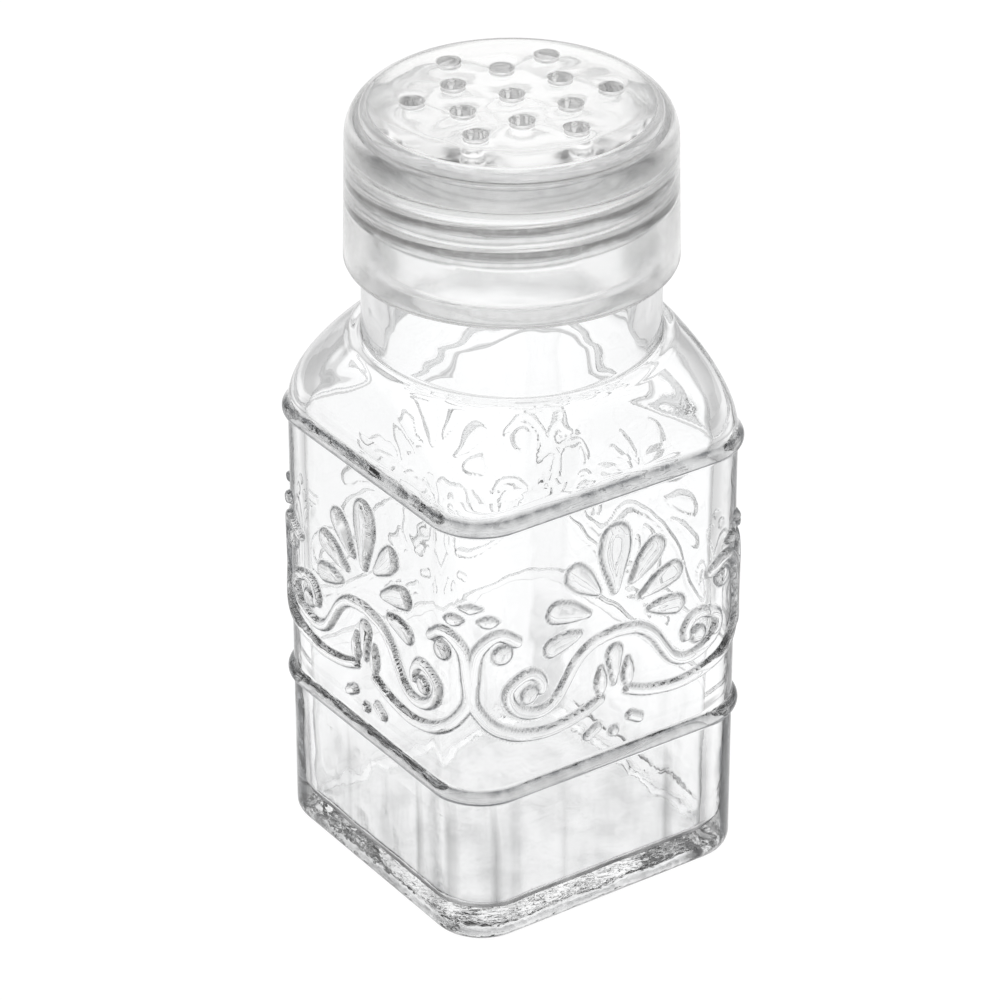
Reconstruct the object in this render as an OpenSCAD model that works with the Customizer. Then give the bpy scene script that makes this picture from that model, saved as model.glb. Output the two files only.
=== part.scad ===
// Square pressed-glass shaker jar with a clear screw cap.
// Millimetres, Z up, origin at the middle of the base where it rests on the table.
// The four flat sides face -X, +X, -Y and +Y.

/* [Body of the jar] */
// Width across the flat sides
jar_w = 64.2; // [58:0.1:70]
// Height of the straight sides, up to where the shoulder starts
body_h = 88; // [78:0.5:98]
// Radius of the four upright corners
corner_r = 10; // [6:0.5:12]
// Round at the heel, where the sides meet the table
heel_r = 2.5; // [1.5:0.1:3.5]
// Thickness of the flat walls below the shoulder
wall_t = 3.8; // [3:0.1:5]
// Extra wall thickness at the foot of the flat walls
wall_draft = 0.7; // [0.3:0.1:1.2]
// Thickness of the heavy glass base
base_t = 5; // [4:0.1:8]
// Radius of the upright corners inside
inner_corner_r = 7; // [5:0.5:9]
// Round between the floor and the walls inside
floor_r = 2.5; // [1.5:0.1:5]
// Depth of the hollow under the base
push_up_h = 1; // [0.5:0.1:1.5]
// Width of the bearing rim round that hollow
bearing_w = 5; // [4:0.5:7]

/* [Ribs] */
// Height of the middle of the lower rib
low_rib_z = 31.6; // [26:0.1:36]
// Depth of the middle of the upper rib below the start of the shoulder
high_rib_drop = 1; // [0.5:0.1:3]
// Radius of the round section of a rib
rib_r = 1.8; // [1.2:0.1:2.4]
// How far a rib stands out of the wall
rib_out = 1.1; // [0.6:0.1:1.4]

/* [Relief] */
// Width of a full bead of the scroll relief
bead_w = 2.3; // [1.8:0.1:2.8]
// How far the relief stands out of the walls
bead_h = 1; // [0.5:0.1:1.2]

/* [Shoulder and neck] */
// Height of the shoulder
shoulder_h = 17.5; // [15:0.5:20]
// Height of the plain neck under the threaded finish
neck_h = 17.7; // [15:0.1:20]
// How far the neck stands out beyond the finish
neck_out = 1.3; // [0.8:0.1:1.6]
// Fillet between the shoulder and the neck
neck_fillet = 1.2; // [0.6:0.1:2]
// Height of the threaded finish, up to the rim
finish_h = 23.1; // [20:0.1:27]
// Diameter of the mouth
bore_d = 45; // [40:0.5:48]
// Thickness of the glass at the rim
rim_t = 3.2; // [2.8:0.1:3.8]
// Round on both edges of the rim
lip_r = 1.2; // [0.6:0.1:1.4]

/* [Cap] */
// Gap between the finish and the skirt, where the threads run
thread_gap = 2.55; // [2:0.05:3]
// Gap between the finish and the bore above the threads
seat_gap = 0.8; // [0.4:0.1:1.2]
// Depth of that narrower bore below the ledge that lands on the rim
seat_h = 4.5; // [3:0.1:7]
// How far the ledge reaches in over the rim
ledge_w = 0.7; // [0.4:0.1:1.1]
// Height of the space between the ledge and the top plate
chamber_h = 2.5; // [1.5:0.1:4]
// Round in the corner under the top plate
chamber_round = 0.4; // [0.2:0.1:1]
// Thickness of the skirt at its foot
skirt_t = 1.75; // [1.5:0.05:2.4]
// How far the skirt reaches down past the threaded finish
skirt_drop = 2.5; // [0:0.1:8]
// How far the side leans in from the foot to the rounded top edge
cap_taper = 0.5; // [0:0.1:0.8]
// Radius of the rounded top edge
cap_round = 7.6; // [5:0.1:9]
// Thickness of the top plate
plate_t = 2.8; // [2:0.1:3.4]

/* [Pouring holes] */
// Diameter of each hole
hole_d = 4.2; // [2.5:0.1:4.6]
// Radius of the inner ring of holes, as a share of the mouth's radius
inner_ring_share = 0.489; // [0.42:0.001:0.53]
// Radius of the outer ring of holes, as a share of the mouth's radius
outer_ring_share = 0.782; // [0.74:0.001:0.85]
// Turn of the inner ring where the cap comes to rest
ring_turn = 4.6; // [-30:0.1:30]

/* [Hidden] */
$fn = 96;

half_w = jar_w / 2;
bore_r = bore_d / 2;
finish_r = bore_r + rim_t;
neck_r = finish_r + neck_out;

// Heights of the upper rib, of the top of the shoulder, of the foot of the finish and of the rim
high_rib_z = body_h - high_rib_drop;
neck_z = body_h + shoulder_h;
finish_z = neck_z + neck_h;
jar_h = finish_z + finish_h;

// Radii of the cap's two bores, of the space over the rim, and of its side at foot and top
skirt_bore_r = finish_r + thread_gap;
seat_bore_r = finish_r + seat_gap;
chamber_r = finish_r - ledge_w;
foot_r = skirt_bore_r + skirt_t;
top_r = foot_r - cap_taper;
// Heights of the cap's foot, of the underside of its plate and of its top
cap_z = finish_z - skirt_drop;
plate_z = jar_h + chamber_h;
cap_top = plate_z + plate_t;

// Radius across the corners, from the axis to the outermost point of a rounded corner
corner_reach = (half_w - corner_r) * sqrt(2) + corner_r;
// Overlap that lets two solids of one piece run into each other
sink = wall_draft / 2;
HOLES_PER_RING = 6;

// The relief is drawn on the unrolled panel between the ribs, once for each side.
// Every bead is a line of [run, rise, width]: the run from the middle of the side as a share of
// the way round to the diagonal, the rise as a share of the way from the lower to the upper rib,
// and the width as a share of a full bead.
half_run = half_w - corner_r + corner_r * PI / 4;
panel_h = high_rib_z - low_rib_z;
// Outline of a bead across its line: [half width, height] as shares, from foot to foot
SECTION_SHARES = [[-1.15, -0.5], [-0.8, 0.6], [0, 1], [0.8, 0.6], [1.15, -0.5]];
STEPS_PER_SPAN = 2;
// Wave that curls in towards a round bead at both of its ends
WAVE_SHARES = [
    [0, 0.475, 1], [0.167, 0.458, 1], [0.28, 0.413, 1], [0.36, 0.35, 1], [0.427, 0.301, 1],
    [0.517, 0.276, 1], [0.618, 0.282, 1], [0.718, 0.314, 1], [0.768, 0.359, 1], [0.761, 0.401, 1],
    [0.668, 0.428, 1], [0.584, 0.422, 1], [0.534, 0.386, 0.9], [0.53, 0.366, 0.3]
];
// Band that hooks over beside the corner, runs down it and sweeps back under the wave
BAND_SHARES = [
    [0.7, 0.552, 0.3], [0.735, 0.585, 0.9], [0.845, 0.607, 1], [0.935, 0.554, 1], [0.957, 0.449, 1],
    [0.957, 0.36, 1], [0.925, 0.303, 1], [0.838, 0.252, 1], [0.674, 0.209, 1], [0.477, 0.19, 1],
    [0.257, 0.206, 1], [0.14, 0.226, 0.9], [0.1, 0.238, 0.3]
];
// Seven petals of the palmette: the middle one, and three for one half
MIDDLE_PETAL_SHARES = [
    [0, 0.885, 0.5], [0, 0.855, 2.1], [0, 0.79, 2.9], [0, 0.71, 1.9], [0, 0.62, 0.5]
];
PETAL_SHARES = [
    [[0.345, 0.77, 0.5], [0.312, 0.751, 1.7], [0.262, 0.722, 1.85], [0.19, 0.683, 1.2], [0.12, 0.644, 0.4]],
    [[0.49, 0.637, 0.4], [0.458, 0.629, 1.5], [0.395, 0.613, 1.6], [0.285, 0.593, 1], [0.184, 0.574, 0.4]],
    [[0.52, 0.494, 0.4], [0.485, 0.498, 1.3], [0.43, 0.503, 1.4], [0.34, 0.51, 0.9], [0.267, 0.513, 0.4]]
];
// Drop under the crest of the wave, with a leaf at each side
DROP_SHARES = [[0, 0.425, 0.6], [0, 0.4, 1.7], [0, 0.345, 1.2], [0, 0.28, 0.4]];
LEAF_SHARES = [[0.1, 0.363, 0.4], [0.1, 0.33, 1.1], [0.1, 0.285, 1.1], [0.1, 0.258, 0.5]];
// Short bars: one over the lower rib, one beside each corner and one on the corner itself
BAR_SHARES = [
    [[0.085, 0.142, 0.4], [0.157, 0.123, 1], [0.225, 0.104, 0.4]],
    [[0.84, 0.664, 0.4], [0.905, 0.664, 1], [0.965, 0.664, 0.4]]
];
CORNER_BAR_SHARES = [[0.93, 0.712, 0.4], [1, 0.712, 0.9], [1.07, 0.712, 0.4]];
// Round beads: in each curl of the wave and each hook of the band, and one low in the middle
CURL_BEAD_SHARE = [0.624, 0.352, 1.6];
HOOK_BEAD_SHARE = [0.808, 0.534, 1.75];
LOW_BEAD_SHARE = [0, 0.096, 0.95];

// Shape of the shoulder: exponents of its outline over a flat side and over a corner
SIDE_POWER = 2.5;
CORNER_RISE_POWER = 1.9;
CORNER_FALL_POWER = 1.13;
// Largest corner radius of a level, as a share of its half width
MOST_ROUND = 0.985;
// Height and reach of the neck fillet's middle, as a share of the fillet
FILLET_SHARE = 0.3;
SHOULDER_STEPS = 10;
CORNER_STEPS = 8;
FLOOR_STEPS = 4;

// One level of a loft is [height, half width, corner radius].
// Its outline starts where the +X side meets the corner beside it and turns anticlockwise.
function level_points(level) = [
    for (quarter = [0 : 3], step = [0 : CORNER_STEPS])
        let (
            turn = 90 * (quarter + step / CORNER_STEPS),
            facing = 90 * quarter + 45,
            middle = (level[1] - level[2]) * sqrt(2)
        )
        [
            middle * cos(facing) + level[2] * cos(turn),
            middle * sin(facing) + level[2] * sin(turn),
            level[0]
        ]
];

// Closed solid through a stack of levels, from the lowest up
module loft(levels) {
    count = 4 * (CORNER_STEPS + 1);
    last = len(levels) - 1;
    points = [for (level = levels) each level_points(level)];
    sides = [
        for (row = [0 : last - 1], i = [0 : count - 1])
            let (a = row * count + i, b = row * count + (i + 1) % count)
            each [[a, a + count, b], [b, a + count, b + count]]
    ];
    bottom = [for (i = [0 : count - 1]) i];
    top = [for (i = [count - 1 : -1 : 0]) last * count + i];
    polyhedron(points = points, faces = concat(sides, [bottom, top]));
}

// Share of the shoulder's width left at a share of its height, over a side and over a corner
function side_share(rise) = pow(max(0, 1 - pow(rise, SIDE_POWER)), 1 / SIDE_POWER);
function corner_share(rise) = pow(max(0, 1 - pow(rise, CORNER_RISE_POWER)), 1 / CORNER_FALL_POWER);

// Corner radius that takes a rounded square of half width h out to a reach across its corners.
// A short flat is left on the roundest ones, so that no two points of a level fall together.
function corner_radius(h, reach) = min(MOST_ROUND * h, (h * sqrt(2) - reach) / (sqrt(2) - 1));

function round_level(z, r) = [z, r, MOST_ROUND * r];

// Levels of a dome from a rounded square at z0 to a circle of radius r at z1
function dome_levels(z0, z1, h, reach, r) = [
    for (step = [1 : SHOULDER_STEPS])
        let (
            rise = pow(sin(90 * step / SHOULDER_STEPS), 2 / SIDE_POWER),
            level_h = r + (h - r) * side_share(rise),
            level_reach = r + (reach - r) * corner_share(rise)
        )
        [z0 + (z1 - z0) * rise, level_h, corner_radius(level_h, level_reach)]
];

// Outside of the shoulder, with the neck's fillet as its last two levels
module shoulder() {
    fillet_foot = neck_r + neck_fillet;
    loft(concat(
        [[body_h - sink, half_w, corner_r], [body_h, half_w, corner_r]],
        dome_levels(body_h, neck_z, half_w, corner_reach, fillet_foot),
        [
            round_level(neck_z + FILLET_SHARE * neck_fillet, neck_r + FILLET_SHARE * neck_fillet),
            round_level(neck_z + neck_fillet, neck_r - sink)
        ]
    ));
}

// Rounded square with the heel's round: a turned post at each corner and two slabs between them
module rounded_block(h, r, heel, height) {
    for (x = [-1, 1], y = [-1, 1])
        translate([x * (h - r), y * (h - r), 0])
            rotate_extrude()
                heel_profile(r, heel, height);
    for (turn = [0, 90])
        rotate([90, 0, turn])
            linear_extrude(2 * (h - r), center = true)
                union() {
                    heel_profile(h, heel, height);
                    mirror([1, 0]) heel_profile(h, heel, height);
                }
}

// Half section from the middle out to reach, rounded at its lower outer edge
module heel_profile(reach, heel, height) {
    square([reach - heel, height]);
    translate([0, heel]) square([reach, height - heel]);
    intersection() {
        translate([reach - heel, heel]) circle(heel);
        translate([reach - heel, 0]) square(heel);
    }
}

// Half-round rib round the whole body: a rod along each side and a quarter ring at each corner
module rib(z) {
    run = half_w - corner_r;
    out = rib_out - rib_r;
    for (quarter = [0 : 3])
        rotate(90 * quarter) {
            translate([half_w + out, 0, z])
                rotate([90, 0, 0])
                    cylinder(r = rib_r, h = 2 * run, center = true);
            translate([run, run, z])
                rotate_extrude(angle = 90)
                    translate([corner_r + out, 0]) circle(rib_r);
        }
}

// Place of a panel point [run, rise, width] in millimetres: run, height and half width
function on_panel(share) = [
    share[0] * half_run,
    low_rib_z + share[1] * panel_h,
    share[2] * bead_w / 2
];

// Point of the +X side at a run round it, at a height, standing out by lift
function wrapped(run, z, lift) =
    let (
        flat = half_w - corner_r,
        turn = max(0, abs(run) - flat) / corner_r * 180 / PI,
        side = run < 0 ? -1 : 1
    )
    abs(run) <= flat
        ? [half_w + lift, run, z]
        : [flat + (corner_r + lift) * cos(turn), side * (flat + (corner_r + lift) * sin(turn)), z];

// Smooth line through a list of points, with STEPS_PER_SPAN steps from each to the next
function smooth(line) =
    let (
        last = len(line) - 1,
        before = concat([2 * line[0] - line[1]], line, [2 * line[last] - line[last - 1]])
    )
    [
        for (i = [1 : last], step = [0 : STEPS_PER_SPAN - 1])
            let (
                t = step / STEPS_PER_SPAN,
                a = before[i - 1], b = before[i], c = before[i + 1], d = before[i + 2]
            )
            b + (c - a) * t / 2 + (2 * a - 5 * b + 4 * c - d) * t * t / 2
                + (3 * b - a - 3 * c + d) * t * t * t / 2,
        line[last]
    ];

function mirrored(line) = [for (p = line) [-p[0], p[1], p[2]]];
function reversed(line) = [for (i = [len(line) - 1 : -1 : 0]) line[i]];

// Raised bead along a line of panel shares
module bead(shares) {
    line = smooth([for (share = shares) on_panel(share)]);
    last = len(line) - 1;
    count = len(SECTION_SHARES);
    points = [
        for (i = [0 : last])
            let (
                ahead = line[min(i + 1, last)] - line[max(i - 1, 0)],
                along = [ahead[0], ahead[1]] / norm([ahead[0], ahead[1]]),
                high = min(bead_h, line[i][2])
            )
            for (share = SECTION_SHARES)
                let (across = share[0] * line[i][2])
                wrapped(line[i][0] - across * along[1], line[i][1] + across * along[0], share[1] * high)
    ];
    sides = [
        for (row = [0 : last - 1], i = [0 : count - 1])
            let (a = row * count + i, b = row * count + (i + 1) % count)
            each [[a, b, a + count], [b, b + count, a + count]]
    ];
    start = [for (i = [count - 1 : -1 : 0]) i];
    end = [for (i = [0 : count - 1]) last * count + i];
    polyhedron(points = points, faces = concat(sides, [start, end]));
}

// Round bead at a panel point: the cap of a ball that stands bead_h out of the wall
module round_bead(share) {
    place = on_panel(share);
    ball_r = (pow(place[2], 2) + pow(bead_h, 2)) / (2 * bead_h);
    translate(wrapped(place[0], place[1], bead_h - ball_r)) sphere(ball_r);
}

// Relief of the +X side and of the corner beside it
module side_relief() {
    bead(concat(reversed(mirrored(WAVE_SHARES)), [for (i = [1 : len(WAVE_SHARES) - 1]) WAVE_SHARES[i]]));
    bead(MIDDLE_PETAL_SHARES);
    bead(DROP_SHARES);
    bead(CORNER_BAR_SHARES);
    round_bead(LOW_BEAD_SHARE);
    for (line = concat([BAND_SHARES, LEAF_SHARES], PETAL_SHARES, BAR_SHARES)) {
        bead(line);
        bead(reversed(mirrored(line)));
    }
    for (spot = [CURL_BEAD_SHARE, HOOK_BEAD_SHARE]) {
        round_bead(spot);
        round_bead([-spot[0], spot[1], spot[2]]);
    }
}

// Neck, step and finish as one solid piece, with the outer round of its rim
module neck() {
    rotate_extrude() {
        translate([0, body_h]) square([neck_r, finish_z - body_h]);
        translate([0, finish_z]) square([finish_r, finish_h - lip_r]);
        translate([0, jar_h - 2 * lip_r]) square([finish_r - lip_r, 2 * lip_r]);
        translate([finish_r - lip_r, jar_h - lip_r]) circle(lip_r);
    }
}

// Bore of the neck, which opens out round the inner edge of the rim
module mouth() {
    rotate_extrude()
        difference() {
            translate([0, body_h]) square([bore_r + lip_r, jar_h + lip_r - body_h]);
            translate([bore_r, body_h - lip_r]) square([2 * lip_r, jar_h - body_h]);
            translate([bore_r + lip_r, jar_h - lip_r]) circle(lip_r);
        }
}

// Hollow inside the body: rounded floor, walls that open upwards, and the shoulder's inside
module hollow() {
    foot_h = half_w - wall_t - wall_draft;
    top_h = half_w - wall_t;
    top_reach = (top_h - inner_corner_r) * sqrt(2) + inner_corner_r;
    floor_levels = [
        for (step = [0 : FLOOR_STEPS])
            let (
                turn = 90 * step / FLOOR_STEPS,
                inset = floor_r * (1 - sin(turn))
            )
            [base_t + floor_r * (1 - cos(turn)), foot_h - inset, inner_corner_r - inset / 2]
    ];
    loft(concat(
        floor_levels,
        [[body_h - wall_t / 2, top_h, inner_corner_r]],
        dome_levels(body_h - wall_t / 2, neck_z - wall_t / 2, top_h, top_reach, bore_r - sink)
    ));
}

module glass_jar() {
    color([0.93, 0.95, 0.95, 0.35])
        difference() {
            union() {
                rounded_block(half_w, corner_r, heel_r, body_h);
                rib(low_rib_z);
                rib(high_rib_z);
                shoulder();
                neck();
                for (quarter = [0 : 3])
                    rotate(90 * quarter) side_relief();
            }
            hollow();
            mouth();
            push_up();
        }
}

// Shallow hollow under the base, which leaves a flat bearing rim
module push_up() {
    reach = half_w - bearing_w;
    round_r = corner_r / 2;
    for (turn = [0, 90])
        rotate(turn)
            translate([-reach, round_r - reach, -push_up_h])
                cube([2 * reach, 2 * (reach - round_r), 2 * push_up_h]);
    for (x = [-1, 1], y = [-1, 1])
        translate([x * (reach - round_r), y * (reach - round_r), -push_up_h])
            cylinder(r = round_r, h = 2 * push_up_h);
}

// Half section of the cap without its holes
module cap_profile() {
    side_top = cap_top - cap_round;
    difference() {
        union() {
            polygon([[0, cap_z], [foot_r, cap_z], [top_r, side_top], [0, side_top]]);
            translate([0, side_top]) square([top_r - cap_round, cap_round]);
            intersection() {
                translate([top_r - cap_round, side_top]) circle(cap_round);
                translate([top_r - cap_round, side_top]) square(cap_round);
            }
        }
        translate([0, cap_z]) square([skirt_bore_r, jar_h - seat_h - cap_z]);
        translate([0, cap_z]) square([seat_bore_r, jar_h - cap_z]);
        translate([0, cap_z]) square([chamber_r, plate_z - chamber_round - cap_z]);
        translate([0, cap_z]) square([chamber_r - chamber_round, plate_z - cap_z]);
        translate([chamber_r - chamber_round, plate_z - chamber_round]) circle(chamber_round);
    }
}

module screw_cap() {
    color([0.88, 0.88, 0.87, 0.6])
        difference() {
            rotate_extrude() cap_profile();
            pouring_hole(0, 0);
            for (i = [1 : HOLES_PER_RING]) {
                pouring_hole(inner_ring_share * bore_r, ring_turn + i * 360 / HOLES_PER_RING);
                pouring_hole(outer_ring_share * bore_r, ring_turn + (i + 0.5) * 360 / HOLES_PER_RING);
            }
        }
}

// One hole through the top plate, at a radius and a turn
module pouring_hole(radius, turn) {
    rotate(turn)
        translate([radius, 0, plate_z - plate_t])
            cylinder(d = hole_d, h = 3 * plate_t);
}

glass_jar();
screw_cap();
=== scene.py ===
# %% [markdown]
# # A parmesan shaker in pressed glass
# The object is a square glass jar with a scroll relief pressed into its four
# sides, closed by a clear plastic screw cap with thirteen pouring holes. There
# are only two pieces, and both are clear shells, so this lesson is about giving
# a shell an exact shape and about making clear glass readable.

# %% Load the frame
import math

import bmesh
import bpy
import numpy as np
from mathutils import Matrix, Vector


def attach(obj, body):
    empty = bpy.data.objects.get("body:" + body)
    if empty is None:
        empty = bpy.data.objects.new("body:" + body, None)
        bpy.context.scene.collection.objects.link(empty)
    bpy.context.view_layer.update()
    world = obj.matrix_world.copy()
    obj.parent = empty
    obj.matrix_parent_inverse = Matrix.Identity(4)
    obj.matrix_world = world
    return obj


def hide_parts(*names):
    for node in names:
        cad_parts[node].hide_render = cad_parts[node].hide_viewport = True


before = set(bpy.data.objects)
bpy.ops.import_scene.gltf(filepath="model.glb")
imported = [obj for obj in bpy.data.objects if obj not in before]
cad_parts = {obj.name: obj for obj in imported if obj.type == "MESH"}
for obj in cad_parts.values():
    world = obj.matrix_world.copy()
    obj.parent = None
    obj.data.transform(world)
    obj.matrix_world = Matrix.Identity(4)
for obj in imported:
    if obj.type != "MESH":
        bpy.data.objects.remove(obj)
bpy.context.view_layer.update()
print("frame nodes:", sorted(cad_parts))

# %% [markdown]
# ## Camera
# Glassware is usually photographed with a long lens from a little above: the
# sides stay nearly parallel, and the pattern of holes in the cap can be read.
# Lengths here are in millimetres, as a pattern maker would write them, and are
# scaled to metres where they are handed to Blender.

# %% Camera
MM = 0.001
# The lens, and the place where its axis meets the picture, in pixels of a square picture
IMAGE_PX = 1000.0
LENS_PX = 4969.0
CENTRE_PX = (511.8, 499.0)
SENSOR_W = 36.0
CAMERA_AZIMUTH = math.radians(-34.80)
CAMERA_ELEVATION = math.radians(29.68)
CAMERA_DISTANCE = 907.2
AIM_Z = 70.14


def add_camera():
    level = math.cos(CAMERA_ELEVATION)
    back = Vector((
        math.sin(CAMERA_AZIMUTH) * level,
        -math.cos(CAMERA_AZIMUTH) * level,
        math.sin(CAMERA_ELEVATION)))
    data = bpy.data.cameras.new("camera")
    data.sensor_width = SENSOR_W
    data.lens = SENSOR_W * LENS_PX / IMAGE_PX
    data.shift_x = 0.5 - CENTRE_PX[0] / IMAGE_PX
    data.shift_y = CENTRE_PX[1] / IMAGE_PX - 0.5
    data.clip_start = 0.01
    data.clip_end = 50.0
    camera = bpy.data.objects.new("camera", data)
    camera.location = (Vector((0, 0, AIM_Z)) + back * CAMERA_DISTANCE) * MM
    camera.rotation_euler = back.to_track_quat("Z", "Y").to_euler()
    bpy.context.scene.collection.objects.link(camera)
    bpy.context.scene.camera = camera
    return camera


print("camera lens: %.1f mm" % add_camera().data.lens)

# %% [markdown]
# ## Writing shader maths as plain expressions
# A glass shader needs masks and soft noise. Wrapping a socket in a small class
# lets a mask be written as `1 - edge * 0.5`, and each operator adds its own
# Math node.

# %% Sockets that can be added and multiplied


class Value:
    """An output socket, with the operators that shader maths needs."""

    def __init__(self, tree, socket):
        self.tree = tree
        self.socket = socket

    def math(self, operation, other=None, flip=False):
        inputs = [self] if other is None else [self, other]
        if flip:
            inputs.reverse()
        return self.tree.node("ShaderNodeMath", {"operation": operation}, dict(enumerate(inputs)))

    def clamp(self):
        return self.tree.node("ShaderNodeClamp", {}, {"Value": self})

    def __add__(self, other):
        return self.math("ADD", other)

    def __sub__(self, other):
        return self.math("SUBTRACT", other)

    def __rsub__(self, other):
        return self.math("SUBTRACT", other, flip=True)

    def __mul__(self, other):
        return self.math("MULTIPLY", other)

    def __truediv__(self, other):
        return self.math("DIVIDE", other)

    __radd__ = __add__
    __rmul__ = __mul__


class Tree:
    """A node tree that is emptied and then filled node by node."""

    def __init__(self, owner):
        owner.use_nodes = True
        self.nodes = owner.node_tree.nodes
        self.links = owner.node_tree.links
        self.nodes.clear()

    def node(self, kind, settings, sockets, output=0):
        made = self.nodes.new(kind)
        for name, value in settings.items():
            setattr(made, name, value)
        for name, value in sockets.items():
            if isinstance(value, Value):
                self.links.new(value.socket, made.inputs[name])
            else:
                made.inputs[name].default_value = value
        return Value(self, made.outputs[output])

    def output(self, kind, value):
        made = self.nodes.new(kind)
        self.links.new(value.socket, made.inputs["Surface"])


print("shader maths can be written with + - * and /")

# %% [markdown]
# A few nodes come up again and again. Each gets a plain name here, so that a
# material reads like a description of the surface.

# %% Nodes with plain names


class Shader(Tree):
    """A node tree that makes its most used nodes by name."""

    def place(self):
        return self.node("ShaderNodeTexCoord", {}, {}, "Object")

    def axis(self, place, name):
        return self.node("ShaderNodeSeparateXYZ", {}, {"Vector": place}, name)

    def camera_ray(self):
        """1 where the camera looks straight at a thing, 0 where glass has bent its view."""
        return self.node("ShaderNodeLightPath", {}, {}, "Is Camera Ray")

    def far_side(self):
        """1 where a wall is met from within the glass, 0 where it is met from outside."""
        return self.node("ShaderNodeNewGeometry", {}, {}, "Backfacing")

    def facing_away(self, bump):
        """From 0 where a face looks at the viewer to 1 where it is seen edge-on."""
        return self.node("ShaderNodeLayerWeight", {}, {"Blend": 0.5, "Normal": bump}, "Facing")

    def mark(self, name):
        """Strength of a mark that is stored on the mesh under this name."""
        return self.node("ShaderNodeAttribute", {"attribute_name": name}, {}, "Fac")

    def noise(self, place, scale, detail):
        sockets = {"Vector": place, "Scale": scale, "Detail": detail}
        return self.node("ShaderNodeTexNoise", {}, sockets, "Fac")

    def fade(self, value, start, end, low, high, kind="LINEAR"):
        """Number that goes from low to high while the value goes from start to end."""
        return self.node("ShaderNodeMapRange", {"interpolation_type": kind}, {
            "Value": value, "From Min": start, "From Max": end, "To Min": low, "To Max": high})

    def ramp(self, value, stops):
        """Shade of grey at a value, between stops of (value, shade)."""
        shade = self.node("ShaderNodeValToRGB", {}, {"Fac": value})
        elements = self.nodes[-1].color_ramp.elements
        while len(elements) < len(stops):
            elements.new(0.5)
        for stop, (place, grey) in zip(elements, stops):
            stop.position = place
            stop.color = (grey, grey, grey, 1)
        return shade

    def mix(self, share, first, second, blend="MIX"):
        settings = {"data_type": "RGBA", "blend_type": blend}
        return self.node("ShaderNodeMix", settings, {0: share, 6: first, 7: second}, 2)

    def mix_shaders(self, share, first, second):
        return self.node("ShaderNodeMixShader", {}, {0: share, 1: first, 2: second})

    def bump(self, strength, distance, height):
        sockets = {"Strength": strength, "Distance": distance, "Height": height}
        return self.node("ShaderNodeBump", {}, sockets, "Normal")


print("named nodes: %d" % sum(not name.startswith("_") for name in vars(Shader)))

# %% [markdown]
# ## Studio
# Clear glass has no colour of its own. What draws it is what it bends into
# view, so the room is a bright-field set-up: white overhead and on the floor,
# and calm greys at the horizon, far off on the floor and to both sides, which
# the curved edges of the glass pick up. The camera itself sees plain white past
# the object.

# %% Room
ROOM_STOPS = [(0.0, 0.58), (0.1, 0.66), (0.26, 0.98), (0.5, 1.06)]
WHITE = (1, 1, 1, 1)


def add_room():
    room = bpy.data.worlds.new("room")
    bpy.context.scene.world = room
    tree = Shader(room)
    direction = tree.node("ShaderNodeTexCoord", {}, {}, "Generated")
    shade = tree.ramp(tree.axis(direction, "Z"), ROOM_STOPS)
    colour = tree.mix(tree.camera_ray(), shade, WHITE)
    light = tree.node("ShaderNodeBackground", {}, {"Color": colour, "Strength": 1.0})
    tree.output("ShaderNodeOutputWorld", light)
    return room


print("world:", add_room().name)

# %% [markdown]
# The floor glows, so that it lights the glass from below as a light table does,
# and takes only a faint shadow. Round the jar its glow is dimmed as a painted
# shadow, which shows only where glass bends the view to the floor.

# %% Floor
# Sizes and distances are in metres here, from the middle of the jar
STUDIO_R = 3.0
STUDIO_SIDES = 96
STUDIO_DROP = 0.0002
# Painted shadow: the glow falls from full away from the jar to a little less under it
NEAR_SHADOW_ZONE = (0.02, 0.06, 0.95, 1.06)
SIDE_ZONE = (0.06, 0.15, 0.0, 1.0)
FAR_ZONE = (0.42, 0.8, 1.0, 0.7)
SIDE_STOPS = [(0.0, 1.0), (0.5, 1.0), (0.85, 0.68), (1.0, 0.6)]
FLOOR_SEEN = (1.06, 1.06, 1.06, 1)
MATTE_WHITE = (0.9, 0.9, 0.9, 1)
SHADOW_SHARE = 0.08


def floor_material():
    material = bpy.data.materials.new("white floor")
    tree = Shader(material)
    place = tree.place()
    x = tree.axis(place, "X")
    y = tree.axis(place, "Y")
    across = (x * math.cos(CAMERA_AZIMUTH) + y * math.sin(CAMERA_AZIMUTH)).math("ABSOLUTE")
    # The small amount avoids a division by zero in the middle
    radius = (x * x + y * y).math("SQRT") + 1e-4
    side = across / radius * tree.fade(radius, *SIDE_ZONE, "SMOOTHSTEP")
    shadow_under_jar = tree.fade(radius, *NEAR_SHADOW_ZONE, "SMOOTHSTEP")
    far = tree.fade(radius, *FAR_ZONE, "SMOOTHSTEP")
    shade = tree.mix(1.0, tree.ramp(side, SIDE_STOPS), shadow_under_jar * far, "MULTIPLY")
    colour = tree.mix(tree.camera_ray(), shade, FLOOR_SEEN)
    glow = tree.node("ShaderNodeEmission", {}, {"Color": colour, "Strength": 1.0})
    matte = tree.node("ShaderNodeBsdfDiffuse", {}, {"Color": MATTE_WHITE})
    tree.output("ShaderNodeOutputMaterial", tree.mix_shaders(SHADOW_SHARE, glow, matte))
    return material


def add_floor():
    bm = bmesh.new()
    bmesh.ops.create_circle(bm, cap_ends=True, segments=STUDIO_SIDES, radius=STUDIO_R)
    bmesh.ops.translate(bm, verts=bm.verts, vec=(0, 0, -STUDIO_DROP))
    mesh = bpy.data.meshes.new("floor")
    bm.to_mesh(mesh)
    bm.free()
    mesh.materials.append(floor_material())
    floor = bpy.data.objects.new("floor", mesh)
    bpy.context.scene.collection.objects.link(floor)
    return floor


print("floor: %.0f m across" % add_floor().dimensions.x)

# %% [markdown]
# ## Light paths
# A ray through the cap and the neck crosses eight surfaces, and it bounces
# inside the glass as well. With too few bounces it ends there and leaves a
# black spot, so the limits are raised.

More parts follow.
